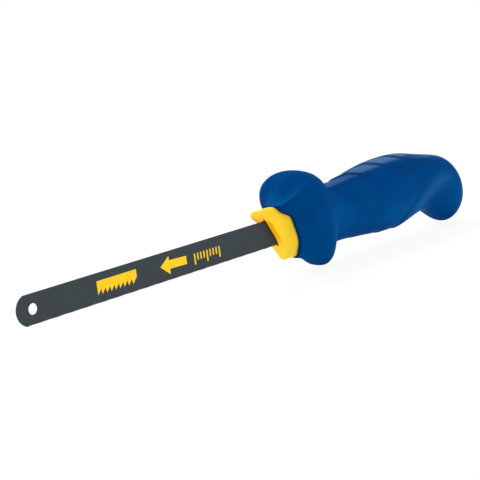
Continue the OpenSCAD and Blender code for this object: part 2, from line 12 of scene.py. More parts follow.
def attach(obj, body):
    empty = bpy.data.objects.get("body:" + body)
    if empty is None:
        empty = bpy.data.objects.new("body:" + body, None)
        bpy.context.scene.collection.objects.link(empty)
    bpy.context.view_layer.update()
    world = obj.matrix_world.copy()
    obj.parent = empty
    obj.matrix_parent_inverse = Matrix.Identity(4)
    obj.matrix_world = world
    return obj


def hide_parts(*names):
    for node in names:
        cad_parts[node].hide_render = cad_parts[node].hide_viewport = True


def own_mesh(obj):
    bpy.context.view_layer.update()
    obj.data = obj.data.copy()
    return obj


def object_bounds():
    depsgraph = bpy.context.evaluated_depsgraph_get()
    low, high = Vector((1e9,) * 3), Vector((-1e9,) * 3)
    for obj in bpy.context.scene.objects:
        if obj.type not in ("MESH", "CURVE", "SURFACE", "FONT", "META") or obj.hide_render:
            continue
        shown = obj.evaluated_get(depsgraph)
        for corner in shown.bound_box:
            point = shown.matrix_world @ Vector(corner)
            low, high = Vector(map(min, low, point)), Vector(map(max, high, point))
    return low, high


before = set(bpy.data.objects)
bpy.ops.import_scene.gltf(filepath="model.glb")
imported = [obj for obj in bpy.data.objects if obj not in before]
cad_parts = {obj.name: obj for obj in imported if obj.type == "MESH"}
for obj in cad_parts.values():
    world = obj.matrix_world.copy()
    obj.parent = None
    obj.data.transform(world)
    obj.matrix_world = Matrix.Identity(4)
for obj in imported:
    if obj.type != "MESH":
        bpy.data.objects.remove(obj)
cad_low, cad_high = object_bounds()

bl_info = {
    "name": "Multi-blade Saw",
    "version": (1, 0, 0),
    "blender": (4, 5, 0),
    "location": "View3D > Sidebar > Saw",
    "description": "Builds the visible pieces of a hand saw around its packed parts",
    "category": "Add Mesh",
}

MM = 0.001

# grip: places along the axis and sizes of its sections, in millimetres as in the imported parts
LIP_AT, GUARD_AT, GUARD_THICK = 15.9, 31.5, 12.0
FLARE_AT, RIM_BACK = GUARD_AT - 0.52 * GUARD_THICK, GUARD_AT + 0.4 * GUARD_THICK
NECK_AT, SWELL_AT, WAIST_AT, HOOK_AT, GRIP_END = 48.0, 90.0, 117.0, 138.5, 148.5
END_DROP, END_ROUND, END_SQUARE, CORE_SQUARE = 7.0, 15.0, 2.2, 2.0
SLEEVE_WALL, CORE_AT = 2.6, 26.0
CORE_END = GRIP_END - SLEEVE_WALL
LIP_LEAN, GUARD_LEAN = 0.3, 0.3
LIP_BILL, LIP_CHIN = 5.4, 1.0
GUARD_HALF, GUARD_CUP = 17.7, 4.0
GUARD_EGG, GRIP_EGG = 0.46, 0.05
GUARD_SQUARE, GRIP_SQUARE = 2.15, 2.12
SLIDE_GAP, LIP_WALL = 0.3, 0.7

# collar, in millimetres
COLLAR_HALF, COLLAR_TOP, COLLAR_BOTTOM = 5.2, 11.9, 14.3
COLLAR_SQUARE, COLLAR_TAPER, COLLAR_SHOULDER = 3.2, 0.58, 4.0
COLLAR_RAKE, CHIN_RUN = math.radians(31), 2.1
COLLAR_NOSE, NOSE_R, HOOD_STAND = 3.4, 1.2, 0.4
HOOD_FOOT, HOOD_FALL = 9.3, 1.9
DISH_DEPTH, FRONT_SWEEP, FRONT_BLEND, HOOD_BLEND = 0.8, 0.9, 0.8, 0.9
GROOVE_X, GROOVE_LONG, GROOVE_Z, GROOVE_HIGH = 1.4, 2.2, 10.5, 1.0
GLOW_HEIGHTS = (-9, -5, 9, 10.2)
COLLAR_TAIL, TAIL_ROUND, COLLAR_STROKE = 28.5, 0.5, 5.0
SLOT_HALF, SLOT_TOP, SLOT_SQUARE, MOUTH_R = 0.65, 7.1, 9, 0.3
PIN_X, PIN_Z, PIN_ROOM, PIN_REACH = 25.45, 9.35, 1.35, 8.0

# blade, in millimetres
BLADE_TIP, BLADE_BUTT, BLADE_HALF, BLADE_FLAT = -146.0, 120.8, 6.35, 0.32
BLADE_END_R, HOLE_R, HOLE_IN = 6.8, 2.35, 8.4
TOOTH_PITCH, TOOTH_DEPTH, TOOTH_BACK = 25.4 / 24, 0.6, 0.8
STRIP_HEIGHT, SET_HEIGHT, SET_FADE, PLAIN_END = 1.8, 1.1, 6.0, 1.0

# print on the blade, in millimetres along it and up
ARROW = [(-61.4, -3.9), (-61.4, -1.5), (-50.95, -1.7), (-50.95, 1.95), (-61.4, 2.3), (-61.4, 4.2), (-66.9, 0.4)]
SYMBOL_LEFT, SYMBOL_RIGHT, SYMBOL_TEETH = -103.4, -81.0, 9
SYMBOL_TOP, SYMBOL_ROOT, SYMBOL_POINT = 3.0, -0.6, -2.9
TICK_LEFT, TICK_PITCH, TICK_WIDTH, TICKS = -46.2, 1.95, 0.8, 9
TICK_TOP, TICK_SHORT, TICK_LONG, LONG_EVERY = 1.7, -1.4, -3.2, 4
PRINT_SINK = 0.005

# springs, in millimetres
SPRING_X0, SPRING_X1, SPRING_SEAT = 45.9, 60.3, 60.6
SPRING_MEAN_R, SPRING_WIRE, SPRING_SIDE, SPRING_Z = 1.55, 0.5, 2.5, 0.7
SPRING_TURNS = 9

# floor and camera's sensor in millimetres, camera's place in metres
FLOOR_REACH, FLOOR_GAP, SENSOR = 6000.0, 0.4, 36
CAMERA_AT = (-0.4983, -0.4744, 0.1205)
CAMERA_RIGHT, CAMERA_UP = (0.67866, -0.72282, -0.13018), (0.21536, 0.02639, 0.97618)


# settings

def length_prop(name, description, default, low=0.0, **limits):
    """A length that the panel shows."""
    return FloatProperty(name=name, description=description, default=default, min=low, unit="LENGTH", **limits)


def colour_prop(name, description, default):
    """A colour that the panel shows."""
    return FloatVectorProperty(
        name=name, description=description, default=default, min=0, max=1, size=3, subtype="COLOR")


class GripSettings(bpy.types.PropertyGroup):
    """Sizes and finish of the soft grip"""

    ridge_depth: length_prop("Pad height", "Height of each pad on the grip's top", 0.0009)
    shoulder_depth: length_prop("Shoulder depth", "How far the side falls in below the pads", 0.0009)
    groove_depth: length_prop("Fold depth", "Step at each swept fold on the grip's lower side", 0.0008)
    ledge_depth: length_prop(
        "Ledge depth", "Depth of the hollow above the ledge from the collar to the guard's rim", 0.0026)
    colour: colour_prop("Grip colour", "Colour of the soft grip", (0.0, 0.047, 0.19))
    roughness: FloatProperty(
        name="Grip roughness", description="Roughness of the soft grip", subtype="FACTOR",
        default=0.46, min=0, max=1)


class CollarSettings(bpy.types.PropertyGroup):
    """Sizes and finish of the clamp collar"""

    rim_radius: length_prop("Rim radius", "Rounding of the collar's front rim", 0.0008, low=0.0002)
    groove_depth: length_prop("Hood groove", "Depth of the shallow groove behind the hood's rim", 0.0004)
    colour: colour_prop("Collar colour", "Colour of the collar", (0.97, 0.62, 0.024))


class BladeSettings(bpy.types.PropertyGroup):
    """Sizes and finish of the blade and its print"""

    tooth_set: length_prop("Tooth set", "How far the wavy set carries the teeth to each side", 0.00016, max=0.0003)
    wave_teeth: IntProperty(
        name="Teeth per wave", description="Number of teeth in one wave of the set", default=8, min=4)
    chamfer: length_prop("Edge break", "Chamfer along the blade's back, ends and holes", 0.00006)
    print_height: length_prop("Print height", "Thickness of the printed marks", 0.00003, low=0.00001)
    colour: colour_prop("Blade colour", "Colour of the blade's dark finish", (0.032, 0.044, 0.05))
    print_colour: colour_prop("Print colour", "Colour of the printed marks", (0.93, 0.54, 0.014))


class StageSettings(bpy.types.PropertyGroup):
    """Light, floor and camera"""

    lens: FloatProperty(
        name="Lens", description="Focal length of the camera", default=113.47, min=10, unit="CAMERA")
    sky: FloatProperty(
        name="Sky light", description="Strength of the even light from all round", default=1.0, min=0)
    back_light: FloatProperty(
        name="Back light", description="Power of the soft light above and behind", default=6.0, min=0,
        unit="POWER")
    side_light: FloatProperty(
        name="Side light", description="Power of the soft light at the camera's right", default=1.2, min=0,
        unit="POWER")
    floor_colour: colour_prop("Floor colour", "Colour of the floor", (0.95, 0.95, 0.95))
    shadow: FloatProperty(
        name="Floor shadow", description="Share of the floor that shows the shadow", subtype="FACTOR",
        default=0.12, min=0, max=1)


# shapes

def smooth_step(value, low, high):
    """0 below low, 1 above high, with a smooth rise between."""
    t = np.clip((value - low) / (high - low), 0, 1)
    return t * t * (3 - 2 * t)


def fade(value, low, high):
    """1 below low, 0 above high, with a smooth fall between."""
    return 1 - smooth_step(value, low, high)


def window(value, rise, rise_end, fall, fall_end):
    """1 between a smooth rise and a smooth fall, 0 outside them."""
    return smooth_step(value, rise, rise_end) * fade(value, fall, fall_end)


def smooth_min(a, b, width):
    """The lower of two values with a rounded change-over."""
    t = np.clip(0.5 + 0.5 * (b - a) / width, 0, 1)
    return b + (a - b) * t - width * t * (1 - t)


def power(value, n):
    """Coordinate of a rounded box section of squareness n."""
    return np.sign(value) * np.abs(value) ** (2 / n)


def line_at(knots, x):
    """Smooth line through knots, level at every peak and hollow."""
    knots = np.array(knots, float)
    xs, values = knots[:, 0], knots[:, 1]
    rise = np.diff(values) / np.diff(xs)
    before, after = rise[:-1], rise[1:]
    same = before * after > 0
    bend = np.where(same, 2 * before * after / np.where(same, before + after, 1), 0)
    slope = np.concatenate([rise[:1], bend, rise[-1:]])
    i = np.clip(np.searchsorted(xs, x) - 1, 0, len(xs) - 2)
    h = xs[i + 1] - xs[i]
    t = (x - xs[i]) / h
    return (values[i] * (1 + 2 * t) * (1 - t) ** 2 + values[i + 1] * t * t * (3 - 2 * t)
            + h * (slope[i] * t * (1 - t) ** 2 - slope[i + 1] * t * t * (1 - t)))


def line_within(knots, x):
    """The same line, held level outside its first and last knot."""
    return line_at(knots, np.clip(x, knots[0][0], knots[-1][0]))


def profile(lip, guard, neck, swell, waist, hook, end):
    """Knots of one size of the grip along its axis."""
    return [
        (LIP_AT, lip),
        (GUARD_AT - GUARD_THICK, lip + 0.16 * (guard - lip)),
        (FLARE_AT, lip + 0.8 * (guard - lip)),
        (GUARD_AT, guard),
        (RIM_BACK, neck + 0.86 * (guard - neck)),
        (GUARD_AT + 0.62 * GUARD_THICK, neck + 0.42 * (guard - neck)),
        (GUARD_AT + 0.85 * GUARD_THICK, neck + 0.08 * (guard - neck)),
        (NECK_AT, neck), (SWELL_AT, swell), (WAIST_AT, waist), (HOOK_AT, hook), (GRIP_END, end)]


def levels(lip, guard, grip):
    """Knots of a value that starts at the lip and stays level on the guard and along the grip."""
    return [(LIP_AT, lip), (FLARE_AT, guard), (RIM_BACK, guard), (NECK_AT, grip), (GRIP_END, grip)]


LIP = SLIDE_GAP + LIP_WALL
TOP_LINE = profile(COLLAR_TOP + LIP, 26, 15.2, 20.2, 17, 12.4, 6.4)
BOTTOM_LINE = profile(COLLAR_BOTTOM + LIP, 22.9, 13.6, 16.2, 12.4, 22.2, 22.2)
SIDE_LINE = profile(COLLAR_HALF + LIP, GUARD_HALF, 11.6, 13.6, 12, 13.4, 13.4)
LEAN_LINE = [(LIP_AT, LIP_LEAN), (FLARE_AT, GUARD_LEAN), (GUARD_AT, GUARD_LEAN), (NECK_AT + 8, 0), (GRIP_END, 0)]
CUP_LINE = levels(0, GUARD_CUP, 0)
EGG_LINE = levels(0, GUARD_EGG, GRIP_EGG)
SQUARE_LINE = levels(COLLAR_SQUARE, GUARD_SQUARE, GRIP_SQUARE)

# pads on the top: where each starts on the crest, and how its front edge sweeps back toward -Y and
# forward toward +Y
PADS = [(36.0, 0.003, 0.014), (65.2, 0.0037, 0.016), (79.7, 0.0046, 0.018), (97.0, 0.0046, 0.019),
        (128.0, 0.004, 0.019)]
PAD_FRONT, PAD_SINK, PAD_CROWN = 0.7, 0.8, 0.45
PADS_ALONG = (NECK_AT - 9, NECK_AT - 3, SWELL_AT + 16, WAIST_AT + 12)
SINK_ALONG = (NECK_AT - 9, NECK_AT - 3, SWELL_AT + 2, SWELL_AT + 16)
# shoulder beside the pads: its place along the grip and its degrees from the crest
SHOULDER = [(38.0, 31.0), (46.0, 28.0), (54.0, 24.0), (60.0, 24.0), (70.0, 29.0), (85.0, 32.0),
            (98.0, 31.0), (108.0, 24.0), (118.0, 18.0), (126.0, 14.0)]
# folds on the lower side: where each meets the keel, how it sweeps back, its depth, and the degrees
# from the keel where it ends
FOLDS = [(44.0, 2e-5, 0.0, 60), (58.5, 1e-5, 0.25, 62), (78.2, 8e-6, 0.45, 68), (91.2, 2.7e-5, 0.65, 98),
         (125.0, 2e-5, 0.0, 98)]
FOLD_WIDTH, FOLD_FADE = 1.2, 36
# band of painted light and painted sheen behind the last fold: degrees from the keel and where its middle lies along
# the grip
BAND = [(40.0, 105.5), (47.0, 106.9), (62.0, 109.5), (72.0, 113.5), (89.0, 120.6), (108.0, 128.5), (130.0, 137.0)]
BAND_HALF, BAND_ACROSS = 5.5, (38, 52, 96, 128)
# ledge above the collar: its edge across and up, from the middle to the guard's rim
LEDGE = [(0.0, 12.2), (4.2, 12.2), (6.5, 14.1), (9.4, 16.1), (11.7, 17.7), (13.6, 19.0), (15.3, 19.7), (18.0, 20.4)]
LEDGE_WIDTH, LEDGE_REACH, LEDGE_PAINTED_LIGHT = 1.8, 14.0, 3.6
# places of painted light, painted sheen and painted shade: spans along the grip in millimetres, and off the crest or
# the keel in degrees
SPINE_ALONG, SPINE_ACROSS = (99, 107, 122, 134), (14, 32)
BESIDE_ALONG, BELLY_ALONG, BELLY_ACROSS = (80, 96, 116, 130), (66, 86, 106, 116), (60, 86)
FLANK_ALONG = (GUARD_AT + 1, GUARD_AT + 5, NECK_AT - 4, NECK_AT + 9)


def shown_turn(angle):
    """Degrees past the crest, off the crest and off the keel."""
    turn = np.degrees(angle)
    return turn - 90, np.abs(turn - 90), np.abs(turn - 270)


def pad_fronts(past_crest):
    """Where each pad's front edge lies along the grip."""
    return [start + np.where(past_crest > 0, back, -forward) * past_crest ** 2 for start, back, forward in PADS]


def pad_height(s, past_crest):
    """Height of the pads from 0 to 1: each steps up at its front edge and rounds down to the next."""
    height = np.zeros(np.broadcast(s, past_crest).shape)
    fronts = pad_fronts(past_crest)
    for here, after in zip(fronts[:-1], fronts[1:]):
        ahead = np.clip((s - here) / (after - here), 0, 1)
        height = np.where((s >= here) & (s < after), smooth_step(s - here, 0, PAD_FRONT) * (1 - ahead ** 2), height)
    return height


def fold_lines(off_keel):
    """Where each fold lies along the grip, and its depth as it fades on the way up."""
    return [(start + sweep * off_keel ** 3, depth * fade(off_keel, end - FOLD_FADE, end))
            for start, sweep, depth, end in FOLDS]


def fold_height(s, off_keel):
    """Height of the folds from 0 to 1: each steps up at its front line and falls away behind it."""
    height = np.zeros(np.broadcast(s, off_keel).shape)
    lines = fold_lines(off_keel)
    for (here, depth), (after, _) in zip(lines[:-1], lines[1:]):
        ahead = (s - here) / (after - here)
        step = depth * smooth_step(s - here, 0, FOLD_WIDTH) * np.clip(1 - ahead, 0, 1) ** 1.5
        height = np.where((ahead >= 0) & (ahead < 1), step, height)
    return height


def above_ledge(base):
    """Signed distance from the ledge's edge, positive above it."""
    y, z = np.abs(base[..., 1]), base[..., 2]
    best = np.full(y.shape, 1e9)
    signed = np.zeros(y.shape)
    for (y0, z0), (y1, z1) in zip(LEDGE[:-1], LEDGE[1:]):
        dy, dz = y1 - y0, z1 - z0
        t = np.clip(((y - y0) * dy + (z - z0) * dz) / (dy * dy + dz * dz), 0, 1)
        away = np.hypot(y - y0 - t * dy, z - z0 - t * dz)
        side = np.sign(dy * (z - z0) - dz * (y - y0))
        signed = np.where(away < best, side * away, signed)
        best = np.minimum(best, away)
    return signed


def grip_relief(s, angle, base, settings):
    """Pads, shoulder, folds and guard ledge, in millimetres out from the plain surface."""
    past_crest, off_crest, off_keel = shown_turn(angle)
    ridge, shoulder = settings.ridge_depth / MM, settings.shoulder_depth / MM
    groove, ledge = settings.groove_depth / MM, settings.ledge_depth / MM
    edge, zone = line_within(SHOULDER, s), window(s, *PADS_ALONG)
    pads = ridge * (pad_height(s, past_crest) * zone - PAD_SINK * window(s, *SINK_ALONG))
    crown = PAD_CROWN * shoulder * (np.minimum(off_crest, edge) / edge) ** 2 * zone
    flute = -shoulder * fade(off_crest, edge + 10, edge + 44) * zone
    beside = smooth_step(off_crest, edge - 1.5, edge + 6)
    above = (pads + crown) * (1 - beside) + flute * beside
    below = groove * fold_height(s, off_keel)
    relief = np.where(off_crest < 92, above, 0) + np.where(off_keel < 100, below, 0)
    away = above_ledge(base)
    sunk = (1 - np.exp(-np.maximum(away, 0) / LEDGE_WIDTH)) * fade(away, LEDGE_WIDTH, LEDGE_REACH)
    sunk = sunk * fade(s, FLARE_AT, GUARD_AT) * (1 - 0.7 * smooth_step(np.abs(base[..., 1]), 6, 15))
    return relief - ledge * sunk


def grip_painted_light(s, angle, base):
    """Masks of colour painted on the rubber: painted sheen on the top, painted light on the open faces, and painted
    shade in the creases and at the steps.
    """
    past_crest, off_crest, off_keel = shown_turn(angle)
    aside, height = np.abs(base[..., 1]), base[..., 2]
    edge, zone = line_within(SHOULDER, s), window(s, *PADS_ALONG)
    top = fade(off_crest, edge - 3, edge + 1) * zone
    # band behind the last fold, which gets painted light and painted sheen
    painted_light_band = np.exp(-((s - line_within(BAND, off_keel)) / BAND_HALF) ** 2) * window(off_keel, *BAND_ACROSS)

    # painted sheen: the pad tops and the crest behind them are made whiter, standing in for gloss
    wear_and_painted_light = fade(off_crest, edge - 10, edge + 2) * zone * (0.4 + 0.6 * smooth_step(s, 60, 78))
    spine = fade(off_crest, *SPINE_ACROSS) * window(s, *SPINE_ALONG)
    painted_sheen = np.maximum(wear_and_painted_light * (0.3 + 0.35 * pad_height(s, past_crest)), 0.5 * spine) + 0.1 * painted_light_band

    # painted light: the ledge above the collar, the neck behind the guard, the belly, the guard's foot and the lower
    # side are made a lighter blue
    away = above_ledge(base)
    ledge = smooth_step(away, -0.6, 0.6) * np.exp(-np.maximum(away, 0) / LEDGE_PAINTED_LIGHT)
    ledge = ledge * fade(s, FLARE_AT + 2, GUARD_AT + 1) * (1 - 0.9 * smooth_step(aside, 5, 11))
    flank = window(s, *FLANK_ALONG) * (1 - top) * fade(height, 3, 9)
    belly = fade(off_keel, *BELLY_ACROSS) * window(s, *BELLY_ALONG)
    foot = fade(height, -19, -9) * fade(s, GUARD_AT, NECK_AT)
    wear_lift_and_painted_light = 0.36 * painted_light_band + 0.75 * ledge + 0.25 * flank + 0.35 * belly + 0.3 * foot + 0.2 * fade(height, -7, 11)

    # painted shade: a dark band beside the pads, a dark edge at the lip against the collar, and a dark line at each
    # pad's front and each fold
    beside = window(off_crest, edge + 2, edge + 10, edge + 16, edge + 44) * window(s, *BESIDE_ALONG)
    painted_shade = np.maximum(0.32 * beside, 0.75 * fade(s, LIP_AT + 0.2, LIP_AT + 1.3))
    for front in pad_fronts(past_crest)[1:-1]:
        painted_shade = np.maximum(painted_shade, 0.85 * top * np.exp(-((s - front + 0.3) / 0.7) ** 2))
    for line, depth in fold_lines(off_keel):
        painted_shade = np.maximum(painted_shade, 0.8 * depth * np.exp(-((s - line + 0.2) / 0.6) ** 2))
    masks = {"painted_sheen": painted_sheen, "wear_lift_and_painted_light": wear_lift_and_painted_light, "painted_shade": painted_shade}
    return {label: np.clip(mask, 0, 1) for label, mask in masks.items()}


def surface_normals(grid):
    """Outward unit normals of a grid of rings."""
    along = np.gradient(grid, axis=0)
    around = (np.roll(grid, -1, 1) - np.roll(grid, 1, 1)) / 2
    normal = np.cross(around, along)
    return normal / np.linalg.norm(normal, axis=-1)[..., None]


def collar_height(angle, grow=0.0):
    """Height of the collar's section around its axis."""
    half = (COLLAR_TOP + COLLAR_BOTTOM) / 2 + grow
    return (COLLAR_TOP - COLLAR_BOTTOM) / 2 + half * power(np.sin(angle), COLLAR_SQUARE)


def collar_keel(angle):
    """How far the collar's side is drawn in toward its keel."""
    low = np.clip((-collar_height(angle) - COLLAR_SHOULDER) / (COLLAR_BOTTOM - COLLAR_SHOULDER), 0, 1)
    return COLLAR_TAPER * low ** 1.3 * COLLAR_HALF * power(np.cos(angle), COLLAR_SQUARE)


def lip_shift(s, z):
    """How far the lip's edge runs ahead of its lean, above and below the collar."""
    bill = LIP_BILL * smooth_step(z, 0.45 * COLLAR_TOP, 0.85 * COLLAR_TOP)
    chin = LIP_CHIN * smooth_step(-z, 0.5 * COLLAR_BOTTOM, COLLAR_BOTTOM)
    return fade(s, LIP_AT, FLARE_AT) * (bill + chin)


def grip_section(s, angle, inset=0.0, end=GRIP_END):
    """Points of the grip's sections at s, drawn in by inset."""
    s, angle = np.broadcast_arrays(s, angle)
    full = CORE_SQUARE if inset else END_SQUARE
    keep = np.maximum(0, 1 - np.maximum(0, (s - end + END_ROUND) / END_ROUND) ** full) ** (1 / full)
    n = line_at(SQUARE_LINE, s)
    top, bottom = line_at(TOP_LINE, s) - inset, line_at(BOTTOM_LINE, s) - inset
    across, upright = power(np.cos(angle), n), power(np.sin(angle), n)
    y = (line_at(SIDE_LINE, s) - inset) * across * (1 + line_at(EGG_LINE, s) * upright)
    y = (y - fade(s, LIP_AT, FLARE_AT) * collar_keel(angle)) * keep
    z = ((top - bottom) / 2 + (top + bottom) / 2 * upright + END_DROP) * keep - END_DROP
    cup = line_at(CUP_LINE, s)
    if inset:
        cup = cup * smooth_step(s, CORE_AT, RIM_BACK)
    x = s - line_at(LEAN_LINE, s) * z - cup * (y / GUARD_HALF) ** 2
    if not inset:
        x = x - lip_shift(s, z)
    return np.stack([x, y, z], -1)


def collar_ring(angle, grow=0.0):
    """The collar's section as y and z."""
    y = (COLLAR_HALF + grow) * power(np.cos(angle), COLLAR_SQUARE) - collar_keel(angle)
    return y, collar_height(angle, grow)


def pocket_ring(s, angle, grow):
    """The grip's opening around the collar, leaning as the grip does."""
    y, z = collar_ring(angle, grow)
    x = s - line_at(LEAN_LINE, np.full_like(z, s)) * z - fade(s, LIP_AT, CORE_AT) * lip_shift(LIP_AT, z)
    return np.stack([x, y, z], -1)


def collar_front(y, z):
    """How far back the collar's front lies at y and z: a raked face, hollow beside the slot, under a hood."""
    across = np.abs(y) / COLLAR_HALF
    end = math.tan(COLLAR_RAKE) * (2 * SLOT_TOP + HOOD_STAND)
    plane = math.tan(COLLAR_RAKE) * (SLOT_TOP + HOOD_STAND - z)
    chin = end - CHIN_RUN * (z + SLOT_TOP) / (COLLAR_BOTTOM - SLOT_TOP)
    hollow = DISH_DEPTH * fade(across, 0.3, 0.95) + FRONT_SWEEP * across ** 4
    face = smooth_min(plane, chin, FRONT_BLEND) + smooth_step(z, -7, -1) * hollow
    edge = smooth_step(across, 0.45, 0.95)
    start, fall = HOOD_FOOT - 0.7 * edge, HOOD_FALL - 0.6 * edge
    over = np.clip((z - COLLAR_TOP + NOSE_R) / NOSE_R, 0, 1)
    under = -smooth_min(0 * z, z - start, FRONT_BLEND)
    hood = 0.4 * across ** 3 - COLLAR_NOSE + fall * under + NOSE_R * (1 - np.sqrt(1 - over * over))
    return smooth_min(face, hood, HOOD_BLEND)


def grid_faces(rows, columns, closed=True, offset=0):
    """Quads between rows of points; each row is a ring where closed."""
    last = columns if closed else columns - 1
    j, i = np.meshgrid(np.arange(rows - 1), np.arange(last), indexing="ij")
    a = offset + j * columns + i
    b = offset + j * columns + (i + 1) % columns
    return np.stack([a, b, b + columns, a + columns], -1).reshape(-1, 4).tolist()


def fill_faces(loops, offset):
    """Triangles that fill flat loops of (x, z) points and face -Y; offset is the first point's number."""
    triangles = tessellate_polygon([[Vector((px, pz, 0)) for px, pz in loop] for loop in loops])
    a, b, c = np.concatenate(loops)[np.array(triangles)].transpose(1, 0, 2)
    (ux, uz), (vx, vz) = (b - a).T, (c - a).T
    way = 1 if np.sum(ux * vz - uz * vx) > 0 else -1
    return [[offset + k for k in triangle[::way]] for triangle in triangles]


def pin_slot():
    """Closed shape of the slot in which the collar pin stands: its points and faces."""
    turn = np.radians(np.linspace(-90, 90, 13))
    arc = np.stack([np.cos(turn), np.sin(turn)], -1) * PIN_ROOM
    oval = np.concatenate([arc + [PIN_X, PIN_Z], [PIN_X - COLLAR_STROKE, PIN_Z] - arc])
    count = len(oval)
    points = np.concatenate([np.insert(oval, 1, side, axis=1) for side in (-PIN_REACH, PIN_REACH)])
    faces = [face[::-1] for face in grid_faces(2, count)]
    return points, faces + [list(range(count)), list(range(2 * count - 1, count - 1, -1))]


def blade_ends(heights):
    """Points of the blade's rounded ends at the given heights: the tip's, then the butt's in turned order."""
    back = BLADE_END_R - np.sqrt(BLADE_END_R ** 2 - heights * heights)
    tip, butt = np.stack([BLADE_TIP + back, heights], -1), np.stack([BLADE_BUTT - back, heights], -1)
    return tip.tolist(), butt[::-1].tolist()


def new_mesh(name, points, faces):
    """A mesh from points in millimetres."""
    mesh = bpy.data.meshes.new(name)
    mesh.from_pydata((np.asarray(points, float) * MM).tolist(), [], faces)
    return mesh


def new_object(name, data):
    """An object in the scene that holds a mesh, lamp or camera."""
    holder = bpy.data.objects.new(name, data)
    bpy.context.scene.collection.objects.link(holder)
    return holder


def cut_out(piece, points, faces):
    """Take a closed shape, given in millimetres, out of a piece."""
    mesh = new_mesh("cutter", points, faces)
    cutter = new_object("cutter", mesh)
    modifier = piece.modifiers.new("cut", "BOOLEAN")
    modifier.operation, modifier.solver, modifier.object = "DIFFERENCE", "EXACT", cutter
    graph = bpy.context.evaluated_depsgraph_get()
    whole, result = piece.data, bpy.data.meshes.new_from_object(piece.evaluated_get(graph))
    piece.modifiers.clear()
    piece.data = result
    if len(result.polygons) <= len(whole.polygons):
        raise RuntimeError("nothing was cut out of " + piece.name)
    bpy.data.objects.remove(cutter)
    for spare in (mesh, whole):
        bpy.data.meshes.remove(spare)


def add_piece(name, points, faces, finish, body, node=None, flat=(), masks=None, cutter=None):
    """A new piece from points in millimetres with a finish; it rides on a body and may replace a node."""
    mesh = new_mesh(name, points, faces)
    smooth = np.ones(len(mesh.polygons), bool)
    smooth[list(flat)] = False
    mesh.polygons.foreach_set("use_smooth", smooth)
    mesh.validate()
    mesh.update()
    mesh.materials.append(bpy.data.materials[finish])
    for label, values in (masks or {}).items():
        mesh.attributes.new(label, "FLOAT", "POINT").data.foreach_set("value", values)
    piece = new_object(name, mesh)
    if cutter:
        cut_out(piece, *cutter)
    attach(piece, body)
    if node:
        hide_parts(node)
    return piece


# shared effects

def set_inputs(tree, node, values):
    """The node, with its inputs set or linked by name or number."""
    for label, value in values.items():
        if isinstance(value, bpy.types.NodeSocket):
            tree.links.new(value, node.inputs[label])
        else:
            node.inputs[label].default_value = value
    return node


def noise(tree, scale, detail, stretch=None):
    """A noise texture in object space, stretched where asked."""
    place = tree.nodes.new("ShaderNodeTexCoord").outputs["Object"]
    if stretch:
        mapping = set_inputs(tree, tree.nodes.new("ShaderNodeMapping"), {"Scale": stretch, "Vector": place})
        place = mapping.outputs["Vector"]
    node = tree.nodes.new("ShaderNodeTexNoise")
    return set_inputs(tree, node, {"Detail": detail, "Scale": scale, "Vector": place}).outputs["Fac"]


def ramp(tree, value, low, high, to_low=0.0, to_high=1.0):
    """A value mapped smoothly from one span to another."""
    node = tree.nodes.new("ShaderNodeMapRange")
    node.interpolation_type = "SMOOTHSTEP"
    set_inputs(tree, node, {"Value": value, "From Min": low, "From Max": high, "To Min": to_low, "To Max": to_high})
    return node.outputs["Result"]


def math_node(tree, operation, a, b):
    """Two values joined by an operation."""
    node = tree.nodes.new("ShaderNodeMath")
    node.operation = operation
    return set_inputs(tree, node, {0: a, 1: b}).outputs["Value"]


def effect_inputs(name, **inputs):
    """A new node group with its named inputs; returns the group and its input sockets."""
    group = bpy.data.node_groups.new(name, "ShaderNodeTree")
    for label, value in inputs.items():
        socket = group.interface.new_socket(label, in_out="INPUT", socket_type="NodeSocketFloat")
        socket.default_value = value
    return group, group.nodes.new("NodeGroupInput").outputs


def effect_outputs(group, **outputs):
    """Give a node group its named outputs."""
    for label in outputs:
        group.interface.new_socket(label, in_out="OUTPUT", socket_type="NodeSocketFloat")
    set_inputs(group, group.nodes.new("NodeGroupOutput"), outputs)


